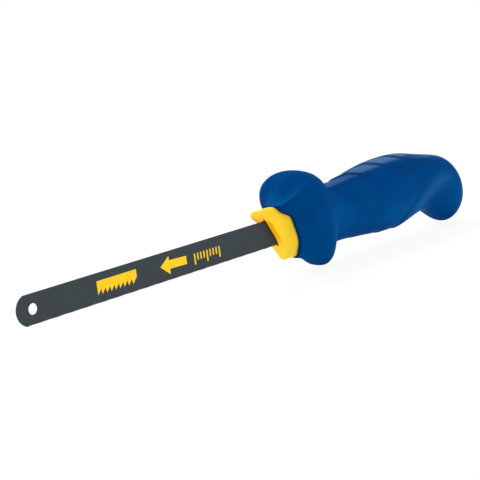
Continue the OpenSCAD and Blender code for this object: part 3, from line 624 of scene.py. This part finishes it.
def build_effects():
    """The shared effects: moulded grain, handling marks, edge wear with painted shade in hollows, and drawn lines."""
    grain, given = effect_inputs("moulded_grain", Scale=4000.0)
    fine = noise(grain, given["Scale"], detail=2.0)
    wide = noise(grain, math_node(grain, "MULTIPLY", given["Scale"], 0.02), detail=4.0)
    effect_outputs(grain, Height=fine, Mottle=ramp(grain, wide, 0.3, 0.7))

    marks, given = effect_inputs("handling_marks", Scale=60.0)
    broad = noise(marks, given["Scale"], detail=3.0)
    finer = math_node(marks, "MULTIPLY", given["Scale"], 9.0)
    thin = noise(marks, finer, detail=6.0, stretch=(0.25, 1.0, 1.6))
    effect_outputs(marks, Polish=ramp(marks, broad, 0.35, 0.7), Scuffs=ramp(marks, thin, 0.62, 0.78))

    edge_and_hollow_group, given = effect_inputs("edge_wear_and_painted_shade", Reach=0.04, Scale=900.0)
    point = edge_and_hollow_group.nodes.new("ShaderNodeNewGeometry").outputs["Pointiness"]
    broken = noise(edge_and_hollow_group, given["Scale"], detail=4.0)
    proud = math_node(edge_and_hollow_group, "DIVIDE", math_node(edge_and_hollow_group, "SUBTRACT", point, 0.5), given["Reach"])
    # painted shade: the hollow mask darkens where the surface is sunk
    sunk = math_node(edge_and_hollow_group, "DIVIDE", math_node(edge_and_hollow_group, "SUBTRACT", 0.5, point), given["Reach"])
    wear_and_painted_light = math_node(edge_and_hollow_group, "MULTIPLY", ramp(edge_and_hollow_group, proud, 0.2, 1.0), ramp(edge_and_hollow_group, broken, 0.35, 0.65))
    effect_outputs(edge_and_hollow_group, Edge=wear_and_painted_light, Hollow=ramp(edge_and_hollow_group, sunk, 0.2, 1.0))

    lines, given = effect_inputs("drawn_lines", Scale=300.0)
    streak = noise(lines, given["Scale"], detail=2.0, stretch=(0.03, 1.0, 2.5))
    cloud = noise(lines, math_node(lines, "MULTIPLY", given["Scale"], 0.2), detail=3.0)
    effect_outputs(lines, Streak=streak, Cloud=ramp(lines, cloud, 0.3, 0.7))


def use_effect(tree, name, **values):
    """A shared effect placed in a material with its own values."""
    node = tree.nodes.new("ShaderNodeGroup")
    node.node_tree = bpy.data.node_groups[name]
    return set_inputs(tree, node, values).outputs


# finishes

def new_material(name):
    """An empty node material with a Principled shader; returns material, tree and shader."""
    material = bpy.data.materials.new(name)
    material.use_nodes = True
    tree = material.node_tree
    return material, tree, tree.nodes["Principled BSDF"]


def mix_colours(tree, factor, a, b):
    """Two colours, each given or linked, mixed by a factor socket."""
    node = tree.nodes.new("ShaderNodeMix")
    node.data_type = "RGBA"
    tree.links.new(factor, node.inputs["Factor"])
    places = [k for k, socket in enumerate(node.inputs) if socket.type == "RGBA"]
    for k, colour in zip(places, (a, b)):
        set_inputs(tree, node, {k: colour if isinstance(colour, bpy.types.NodeSocket) else (*colour, 1.0)})
    return next(socket for socket in node.outputs if socket.type == "RGBA")


def mix_share(tree, mask, share, a, b):
    """Two colours mixed by a share of a mask."""
    return mix_colours(tree, math_node(tree, "MULTIPLY", mask, share), a, b)


def bumped(tree, height, strength):
    """The surface's normal, bumped by a height."""
    node = tree.nodes.new("ShaderNodeBump")
    return set_inputs(tree, node, {"Strength": strength, "Distance": 0.1 * MM, "Height": height}).outputs["Normal"]


def shade(colour, factor, wear_lift_and_painted_light=0.0):
    """A colour made darker or lighter."""
    return tuple(min(1.0, c * factor + wear_lift_and_painted_light) for c in colour)


def mesh_mask(tree, label):
    """A mask that a mesh carries on its points."""
    node = tree.nodes.new("ShaderNodeAttribute")
    node.attribute_name = label
    return node.outputs["Fac"]


def moulded_material(name, colour, roughness, grain, bump, ior, gloss_tint, painted_light_tones=()):
    """A moulded plastic or rubber: grain, mottle, handling marks, softened edges, painted shade in hollows, and the
    painted light and shade that the mesh's masks carry.
    """
    _, tree, shader = new_material(name)
    texture = use_effect(tree, "moulded_grain", Scale=grain)
    marks = use_effect(tree, "handling_marks", Scale=45.0)
    wear_and_painted_light = use_effect(tree, "edge_wear_and_painted_shade", Reach=0.06, Scale=700.0)
    base = mix_colours(tree, texture["Mottle"], shade(colour, 0.94), shade(colour, 1.05))
    # painted shade: darker in hollows
    base = mix_share(tree, wear_and_painted_light["Hollow"], 0.35, base, shade(colour, 0.6))
    base = mix_share(tree, wear_and_painted_light["Edge"], 0.35, base, shade(colour, 1.3))
    base = mix_share(tree, marks["Scuffs"], 0.06, base, shade(colour, 1.3))
    # painted light and painted shade from the mesh's masks
    for label, toward in painted_light_tones:
        base = mix_colours(tree, mesh_mask(tree, label), base, toward)
    rough = ramp(tree, marks["Polish"], 0.0, 1.0, roughness + 0.05, roughness - 0.06)
    set_inputs(tree, shader, {"Base Color": base, "Roughness": rough, "Normal": bumped(tree, texture["Height"], bump),
                              "IOR": ior, "Specular Tint": (*gloss_tint, 1.0)})
    return tree, shader


def metal_material(name, colour, roughness, streak, contrast, metallic=1.0, specular=0.5):
    """A drawn, blackened or cast metal: streaks, clouds and brighter edges."""
    _, tree, shader = new_material(name)
    lines = use_effect(tree, "drawn_lines", Scale=streak)
    wear_and_painted_light = use_effect(tree, "edge_wear_and_painted_shade", Reach=0.05, Scale=1500.0)
    base = mix_colours(tree, lines["Streak"], shade(colour, 1 - contrast), shade(colour, 1 + contrast))
    base = mix_share(tree, lines["Cloud"], 2 * contrast, base, shade(colour, 0.85))
    base = mix_share(tree, wear_and_painted_light["Edge"], 4 * contrast, base, shade(colour, 1.3, 0.02))
    rough = ramp(tree, lines["Streak"], 0.25, 0.75, roughness - contrast / 2, roughness + contrast / 2)
    normal = bumped(tree, lines["Streak"], 0.4 * contrast)
    set_inputs(tree, shader, {"Base Color": base, "Roughness": rough, "Normal": normal, "Metallic": metallic,
                              "Specular IOR Level": specular})


def seen_rays(tree):
    """1 for the rays that show a surface: from the camera, through glass or off a gloss."""
    path = tree.nodes.new("ShaderNodeLightPath").outputs
    seen = math_node(tree, "MAXIMUM", path["Is Camera Ray"], path["Is Transmission Ray"])
    return math_node(tree, "MAXIMUM", seen, path["Is Glossy Ray"])


# pieces

class SAW_OT_finishes(bpy.types.Operator):
    """Make the shared effects and every finish, and give the inner parts theirs"""

    bl_idname = "saw.finishes"
    bl_label = "Finishes"

    def execute(self, context):
        scene = context.scene
        build_effects()
        grip, collar, blade = scene.saw_grip, scene.saw_collar, scene.saw_blade
        yellow_gloss, deep_yellow = (1.0, 0.85, 0.3), (0.98, 0.45, 0.004)
        # the grip rubber mixes in painted light, painted sheen and painted shade by its mesh's masks
        moulded_material(
            "grip_rubber", grip.colour, grip.roughness, grain=5200.0, bump=0.1, ior=1.04,
            gloss_tint=(0.0, 0.4, 1.0),
            painted_light_tones=(("wear_lift_and_painted_light", (0.0, 0.1, 0.31)), ("painted_sheen", (0.09, 0.175, 0.31)), ("painted_shade", shade(grip.colour, 0.4))))
        # the collar's glow mask makes its hollow front and hood groove a deeper yellow that glows faintly: painted
        # shade and a painted glow standing in for light through the plastic
        tree, shader = moulded_material(
            "collar_plastic", collar.colour, 0.36, grain=3200.0, bump=0.05, ior=1.3,
            gloss_tint=yellow_gloss, painted_light_tones=(("glow", deep_yellow),))
        through = mix_colours(tree, mesh_mask(tree, "glow"), (0.0, 0.0, 0.0), deep_yellow)
        set_inputs(tree, shader, {"Emission Color": through, "Emission Strength": 0.24})
        moulded_material("print_ink", blade.print_colour, 0.5, grain=9000.0, bump=0.1, ior=1.25,
                         gloss_tint=yellow_gloss)
        moulded_material("core_moulding", (0.02, 0.022, 0.026), 0.5, grain=2600.0, bump=0.12, ior=1.45,
                         gloss_tint=(1.0, 1.0, 1.0))
        metal_material("blade_finish", blade.colour, 0.45, streak=260.0, contrast=0.03, metallic=0.0,
                       specular=0.15)
        metal_material("jaw_steel", (0.3, 0.31, 0.33), 0.36, streak=600.0, contrast=0.12)
        metal_material("housing_cast", (0.42, 0.42, 0.44), 0.5, streak=120.0, contrast=0.1)
        metal_material("pin_steel", (0.6, 0.61, 0.63), 0.26, streak=900.0, contrast=0.08)
        inner = {
            "jaw_steel": ["left_jaw", "right_jaw"],
            "housing_cast": ["jaw_housing"],
            "pin_steel": ["housing_pins", "collar_pin", "blade_stop", "core_screws", "core_dowels",
                          "spring_seat", "blade_guide"],
            "core_moulding": ["left_core", "right_core"],
        }
        for finish, nodes in inner.items():
            for node in nodes:
                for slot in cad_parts[node].material_slots:
                    slot.material = bpy.data.materials[finish]
        return {"FINISHED"}


class SAW_OT_grip(bpy.types.Operator):
    """Build the soft grip with its guard, pads, folds and hooked end"""

    bl_idname = "saw.grip"
    bl_label = "Soft grip"

    def execute(self, context):
        around = 232
        ring = np.radians(np.arange(around) * 360 / around)
        angle = ring[None, :]
        cap = GRIP_END - END_ROUND
        places = np.concatenate([
            np.linspace(LIP_AT, NECK_AT + 2, 86)[:-1], np.linspace(NECK_AT + 2, cap, 231)[:-1],
            cap + END_ROUND * np.sin(np.radians(np.linspace(0, 87, 26)))])[:, None]
        plain = grip_section(places, angle)
        relief = grip_relief(places, angle, plain, context.scene.saw_grip)
        outer = plain + relief[..., None] * surface_normals(plain)

        # inside: the rounded lip, the collar's pocket and the sleeve's wall
        round_lip = []
        outside, inside = outer[0], pocket_ring(LIP_AT, ring, SLIDE_GAP)
        for turn in np.radians(np.linspace(0, 180, 9)[1:-1]):
            middle = (outside + inside) / 2 + (outside - inside) / 2 * math.cos(turn)
            middle[:, 0] -= LIP_WALL / 2 * math.sin(turn)
            round_lip.append(middle)
        pocket = [pocket_ring(s, ring, SLIDE_GAP) for s in np.linspace(LIP_AT, CORE_AT, 9)]
        inner_cap = CORE_END - END_ROUND
        inner_places = np.concatenate([
            np.linspace(CORE_AT, inner_cap, 40)[:-1],
            inner_cap + END_ROUND * np.sin(np.radians(np.linspace(0, 84, 10)))])[:, None]
        inner = grip_section(inner_places, angle, inset=SLEEVE_WALL, end=CORE_END)

        rings = [*outer[::-1], *round_lip, *pocket, *inner]
        faces = [face[::-1] for face in grid_faces(len(rings), around)]
        tail, last = len(rings) * around, (len(rings) - 1) * around
        points = np.concatenate([*rings, [[GRIP_END, 0, -END_DROP], [CORE_END, 0, -END_DROP]]])
        faces += [[i, (i + 1) % around, tail] for i in range(around)]
        faces += [[last + (i + 1) % around, last + i, tail + 1] for i in range(around)]
        # the inside faces, which carry no drawn mask, get painted shade
        unseen = {"painted_sheen": 0.0, "wear_lift_and_painted_light": 0.0, "painted_shade": 0.75}
        masks = {}
        for label, mask in grip_painted_light(places, angle, plain).items():
            masks[label] = np.full(len(points), unseen[label])
            masks[label][:mask.size] = mask[::-1].ravel()
        add_piece("soft_grip", points, faces, "grip_rubber", "handle", "grip_sleeve", masks=masks)
        return {"FINISHED"}


class SAW_OT_collar(bpy.types.Operator):
    """Build the push collar with its hood, dished front, blade slot and pin slot"""

    bl_idname = "saw.collar"
    bl_label = "Clamp collar"

    def execute(self, context):
        settings = context.scene.saw_collar
        rim, groove = settings.rim_radius / MM, settings.groove_depth / MM
        around = 288
        angle = np.radians(np.arange(around) * 360 / around + 0.35)
        y, z = collar_ring(angle)
        slot_y = SLOT_HALF * power(np.cos(angle), SLOT_SQUARE)
        slot_z = SLOT_TOP * power(np.sin(angle), SLOT_SQUARE)
        reach = np.hypot(y - slot_y, z - slot_z)
        round_off = rim * (0.6 + 0.9 * window(-z, -9, -4, 0, 7))

        # front, from the slot's mouth out to the rim; the glow mask marks its hollow beside the slot for painted
        # shade and a painted glow
        rings, glow = [], []
        for t in np.sin(np.radians(np.linspace(0, 90, 56))) ** 1.1:
            ring_y, ring_z = slot_y + (y - slot_y) * t, slot_z + (z - slot_z) * t
            left = np.clip(round_off - (1 - t) * reach, 0, round_off)
            mouth = np.clip(MOUTH_R - t * reach, 0, MOUTH_R)
            x = (collar_front(ring_y, ring_z) + round_off - np.sqrt(round_off ** 2 - left * left)
                 + MOUTH_R - np.sqrt(MOUTH_R ** 2 - mouth ** 2))
            rings.append((x, ring_y, ring_z))
            inside = smooth_step((1 - t) * reach, 0.5, 1.6) * smooth_step(t * reach, 0.15, 0.5)
            glow.append(inside * window(ring_z, *GLOW_HEIGHTS))

        # side, with the groove behind the hood, then the tail and its end face
        front, tail = x, COLLAR_TAIL - TAIL_ROUND
        for step in np.concatenate([np.linspace(0, 9, 37)[1:], [12, 16, 20, 24]]):
            x = front + (tail - front) * step / COLLAR_TAIL
            dip = np.exp(-((x - GROOVE_X) / GROOVE_LONG) ** 2 - ((z - GROOVE_Z) / GROOVE_HIGH) ** 2)
            rings.append((x, y - groove * dip * np.cos(angle), z - groove * dip * np.sin(angle)))
            # the groove also gets painted shade and a painted glow
            glow.append(0.55 * dip)
        for inset in (0.0, TAIL_ROUND / 2, TAIL_ROUND):
            ring_y, ring_z = collar_ring(angle, -inset)
            rings.append((tail + inset, ring_y, ring_z))
        for t in (0.5, 0.0):
            rings.append((COLLAR_TAIL, slot_y + (ring_y - slot_y) * t, slot_z + (ring_z - slot_z) * t))
        points = np.concatenate([np.stack(np.broadcast_arrays(*ring), -1) for ring in rings])
        faces = grid_faces(len(rings), around)
        last = (len(rings) - 1) * around
        faces += [[last + i, last + (i + 1) % around, (i + 1) % around, i] for i in range(around)]
        lit = np.zeros(len(points))
        lit[:len(glow) * around] = np.concatenate(glow)
        add_piece("push_collar", points, faces, "collar_plastic", "collar", "clamp_collar",
                  masks={"glow": lit}, cutter=pin_slot())
        return {"FINISHED"}


class SAW_OT_blade(bpy.types.Operator):
    """Build the blade with set teeth, broken edges and pin holes"""

    bl_idname = "saw.blade"
    bl_label = "Blade"

    def execute(self, context):
        settings = context.scene.saw_blade
        chamfer, lean = settings.chamfer / MM, settings.tooth_set / MM
        points, faces = [], []

        # tooth strip: columns from end to end, each with its lowest point
        seam = -BLADE_HALF + STRIP_HEIGHT
        tip, butt = blade_ends(np.linspace(seam, BLADE_HALF, 25))
        low_tip, low_butt = blade_ends(np.linspace(seam - 0.05, -BLADE_HALF + 0.02, 7))
        start, stop = tip[-1][0], butt[0][0]
        count = int((stop - start - 2 * PLAIN_END) / TOOTH_PITCH)
        teeth = [(start + PLAIN_END + (k + part) * TOOTH_PITCH, low) for k in range(count)
                 for part, low in ((0.0, -BLADE_HALF), (TOOTH_BACK, -BLADE_HALF + TOOTH_DEPTH))]
        teeth += [(start + PLAIN_END + count * TOOTH_PITCH, -BLADE_HALF)]
        x, low = np.array(low_tip + teeth + low_butt).T
        wave = lean * np.sin(2 * math.pi * (x - start) / (settings.wave_teeth * TOOTH_PITCH))
        wave = wave * window(x, start, start + SET_FADE, stop - SET_FADE, stop)
        shares = (0.0, 0.3, 0.65, 1.0)
        for side in (-1, 1):
            base = len(points)
            for share in shares:
                zs = low + (seam - low) * share
                ys = side * BLADE_FLAT + wave * fade(zs, seam - SET_HEIGHT, seam)
                points += np.stack([x, ys, zs], -1).tolist()
            faces += [quad[::-side] for quad in grid_faces(len(shares), len(x), closed=False, offset=base)]
        half = len(shares) * len(x)
        faces += [[i, i + half, i + half + 1, i + 1] for i in range(len(x) - 1)]
        strip = len(faces)

        # plate above the seam: outline with both rounded ends, and the pin holes
        ridge = [(v, BLADE_HALF) for v in np.linspace(start, stop, 24)[1:-1]]
        outer = np.array(tip + ridge + butt)
        away = outer.copy()
        away[:len(tip), 0] -= BLADE_TIP + BLADE_END_R
        away[-len(butt):, 0] -= BLADE_BUTT - BLADE_END_R
        away[len(tip):-len(butt)] = (0, 1)
        inner = outer - chamfer * away / np.linalg.norm(away, axis=1)[:, None]
        inner[[0, -1], 1] = seam
        turn = np.radians(np.arange(48) * 7.5)
        circle = np.stack([np.cos(turn), np.sin(turn)], -1)
        holes = [np.array([hx, 0.0]) for hx in (BLADE_TIP + HOLE_IN, BLADE_BUTT - HOLE_IN)]
        floor_line = [(v, seam) for v in x[::-1] if inner[0, 0] < v < inner[-1, 0]]
        loops = [np.concatenate([inner, floor_line]), *(h + circle * (HOLE_R + chamfer) for h in holes)]
        for side in (-1, 1):
            base = len(points)
            points += [(px, side * BLADE_FLAT, pz) for loop in loops for px, pz in loop]
            faces += [triangle[::-side] for triangle in fill_faces(loops, base)]
        flat = range(strip, len(faces))

        def wall(loop_in, loop_out, closed):
            base, depth = len(points), BLADE_FLAT - chamfer
            for loop, level in ((loop_in, -BLADE_FLAT), (loop_out, -depth), (loop_out, depth), (loop_in, BLADE_FLAT)):
                points.extend((px, level, pz) for px, pz in loop)
            faces.extend(grid_faces(4, len(loop_in), closed=closed, offset=base))

        rim = len(points)
        wall(inner, outer, False)
        # small end faces that close the strip's first and last columns against the rim
        for column, knot, way in ((0, 0, 1), (len(x) - 1, len(outer) - 1, -1)):
            rise = [column + k * len(x) for k in range(len(shares))]
            edge = rise + [rim + level * len(outer) + knot for level in range(4)] + [half + k for k in rise[::-1]]
            faces.append(edge[::way])
        for h in holes:
            wall(h + circle * (HOLE_R + chamfer), h + circle * HOLE_R, True)
        add_piece("hacksaw_blade", points, faces, "blade_finish", "blade", "saw_blade", flat=flat)
        return {"FINISHED"}


class SAW_OT_marks(bpy.types.Operator):
    """Print a direction arrow, a tooth symbol and a row of ticks on the blade"""

    bl_idname = "saw.marks"
    bl_label = "Printed marks"

    def execute(self, context):
        height = context.scene.saw_blade.print_height / MM
        symbol = [(SYMBOL_LEFT, SYMBOL_TOP), (SYMBOL_LEFT, SYMBOL_ROOT)]
        pitch = (SYMBOL_RIGHT - SYMBOL_LEFT) / SYMBOL_TEETH
        for k in range(SYMBOL_TEETH):
            left = SYMBOL_LEFT + k * pitch
            symbol += [(left + 0.01, SYMBOL_POINT), (left + TOOTH_BACK * pitch, SYMBOL_ROOT)]
        symbol += [(SYMBOL_RIGHT, SYMBOL_ROOT), (SYMBOL_RIGHT, SYMBOL_TOP)]
        ticks = []
        for k in range(TICKS):
            low = TICK_SHORT if k % LONG_EVERY else TICK_LONG
            left = TICK_LEFT + k * TICK_PITCH
            right = left + TICK_WIDTH
            ticks.append([(left, TICK_TOP), (left, low), (right, low), (right, TICK_TOP)])
        for name, loops in (("arrow_mark", [ARROW]), ("tooth_mark", [symbol]), ("tick_marks", ticks)):
            points, faces = [], []
            for loop in loops:
                base, n = len(points), len(loop)
                for level in (-BLADE_FLAT + PRINT_SINK, -BLADE_FLAT - height):
                    points += [(px, level, pz) for px, pz in loop]
                faces += fill_faces([loop], base + n)
                faces += [triangle[::-1] for triangle in fill_faces([loop], base)]
                faces += grid_faces(2, n, offset=base)
            add_piece(name, points, faces, "print_ink", "blade", flat=range(len(faces)))
        return {"FINISHED"}


class SAW_OT_springs(bpy.types.Operator):
    """Wind the two jaw springs with closed ends"""

    bl_idname = "saw.springs"
    bl_label = "Jaw springs"

    def execute(self, context):
        steps, sides = 28, 10
        turns = np.linspace(0, SPRING_TURNS, SPRING_TURNS * steps + 1)
        closed, span = SPRING_WIRE * 1.04, SPRING_X1 - SPRING_X0 - SPRING_WIRE / 2
        x = SPRING_X0 + SPRING_WIRE / 4 + np.interp(
            turns, [0, 1, SPRING_TURNS - 1, SPRING_TURNS], [0, closed, span - closed, span])
        wire = np.radians(np.arange(sides) * 360 / sides)[None, :, None]
        for name, node, side, phase in (("left_coil", "left_jaw_spring", -1, 0.0),
                                        ("right_coil", "right_jaw_spring", 1, math.pi)):
            turn = 2 * math.pi * turns + phase
            out = np.stack([0 * turn, np.cos(turn), np.sin(turn)], -1)
            path = SPRING_MEAN_R * out + [0, side * SPRING_SIDE, SPRING_Z]
            path[:, 0] = x
            way = np.gradient(path, axis=0)
            way /= np.linalg.norm(way, axis=1)[:, None]
            other = np.cross(way, out)
            points = path[:, None] + SPRING_WIRE / 2 * (np.cos(wire) * out[:, None] + np.sin(wire) * other[:, None])
            count = len(path)
            faces = grid_faces(count, sides)
            faces += [list(range(sides))[::-1], list(range((count - 1) * sides, count * sides))]
            piece = add_piece(name, points.reshape(-1, 3), faces, "pin_steel", "handle", node)
            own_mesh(piece)
        return {"FINISHED"}


class SAW_OT_stage(bpy.types.Operator):
    """Set up the floor, the lights and the camera"""

    bl_idname = "saw.stage"
    bl_label = "Stage"

    def execute(self, context):
        scene, settings = context.scene, context.scene.saw_stage
        scene.view_settings.view_transform = "Standard"

        world = bpy.data.worlds.new("studio")
        world.use_nodes = True
        tree = world.node_tree
        strength = ramp(tree, seen_rays(tree), 0.0, 1.0, settings.sky, 1.0)
        set_inputs(tree, tree.nodes["Background"], {"Color": (1, 1, 1, 1), "Strength": strength})
        scene.world = world

        # floor: white where it is seen from afar, with a share of its own shadow near the saw
        material, tree, shader = new_material("floor_white")
        tree.nodes.remove(shader)
        plain = set_inputs(tree, tree.nodes.new("ShaderNodeBsdfDiffuse"), {"Color": (*settings.floor_colour, 1)})
        glow = set_inputs(tree, tree.nodes.new("ShaderNodeEmission"), {"Strength": 1.0})
        length = tree.nodes.new("ShaderNodeVectorMath")
        length.operation = "LENGTH"
        set_inputs(tree, length, {0: tree.nodes.new("ShaderNodeTexCoord").outputs["Object"]})
        far = ramp(tree, length.outputs["Value"], 0.12, 0.5, 1 - settings.shadow, 1.0)
        share = math_node(tree, "MULTIPLY", seen_rays(tree), far)
        mix = set_inputs(tree, tree.nodes.new("ShaderNodeMixShader"),
                         {"Fac": share, 1: plain.outputs["BSDF"], 2: glow.outputs["Emission"]})
        set_inputs(tree, tree.nodes["Material Output"], {"Surface": mix.outputs["Shader"]})
        corners = [(x * FLOOR_REACH, y * FLOOR_REACH, cad_low.z / MM - FLOOR_GAP)
                   for x, y in ((-1, -1), (1, -1), (1, 1), (-1, 1))]
        mesh = new_mesh("floor", corners, [(0, 1, 2, 3)])
        mesh.materials.append(material)
        new_object("floor", mesh)

        middle = (cad_low + cad_high) / 2
        lamps = (
            ("back_softbox", Vector((0.22, 0.62, 0.72)), 0.6, settings.back_light),
            ("side_softbox", Vector((0.75, -0.75, 0.25)), 0.8, settings.side_light),
        )
        for name, offset, size, watts in lamps:
            lamp = bpy.data.lights.new(name, "AREA")
            lamp.size, lamp.energy = size, watts
            holder = new_object(name, lamp)
            holder.location = middle + offset
            holder.rotation_euler = (-offset).to_track_quat("-Z", "Y").to_euler()
            holder.visible_glossy = False

        camera = bpy.data.cameras.new("camera")
        camera.sensor_width, camera.lens = SENSOR, settings.lens
        right, up = Vector(CAMERA_RIGHT), Vector(CAMERA_UP)
        turn = Matrix((right, up, right.cross(up))).transposed().to_4x4()
        scene.camera = new_object("camera", camera)
        scene.camera.matrix_world = Matrix.Translation(CAMERA_AT) @ turn
        return {"FINISHED"}


STEPS = ("finishes", "grip", "collar", "blade", "marks", "springs", "stage")


class SAW_PT_panel(bpy.types.Panel):
    """The saw's settings and the steps that build it"""

    bl_label = "Multi-blade Saw"
    bl_idname = "SAW_PT_panel"
    bl_space_type = "VIEW_3D"
    bl_region_type = "UI"
    bl_category = "Saw"

    def draw(self, context):
        for group in SETTINGS:
            box = self.layout.box()
            settings = getattr(context.scene, group)
            for label in settings.__annotations__:
                box.prop(settings, label)
        for step in STEPS:
            self.layout.operator("saw." + step)


SETTINGS = {"saw_grip": GripSettings, "saw_collar": CollarSettings, "saw_blade": BladeSettings,
            "saw_stage": StageSettings}
CLASSES = (*SETTINGS.values(), SAW_OT_finishes, SAW_OT_grip, SAW_OT_collar, SAW_OT_blade, SAW_OT_marks,
           SAW_OT_springs, SAW_OT_stage, SAW_PT_panel)


def register():
    for cls in CLASSES:
        bpy.utils.register_class(cls)
    for label, cls in SETTINGS.items():
        setattr(bpy.types.Scene, label, PointerProperty(type=cls))


def unregister():
    for label in SETTINGS:
        delattr(bpy.types.Scene, label)
    for cls in reversed(CLASSES):
        bpy.utils.unregister_class(cls)


def main():
    """Register the add-on and run its steps in order."""
    register()
    for step in STEPS:
        getattr(bpy.ops.saw, step)()


if __name__ == "__main__":
    main()
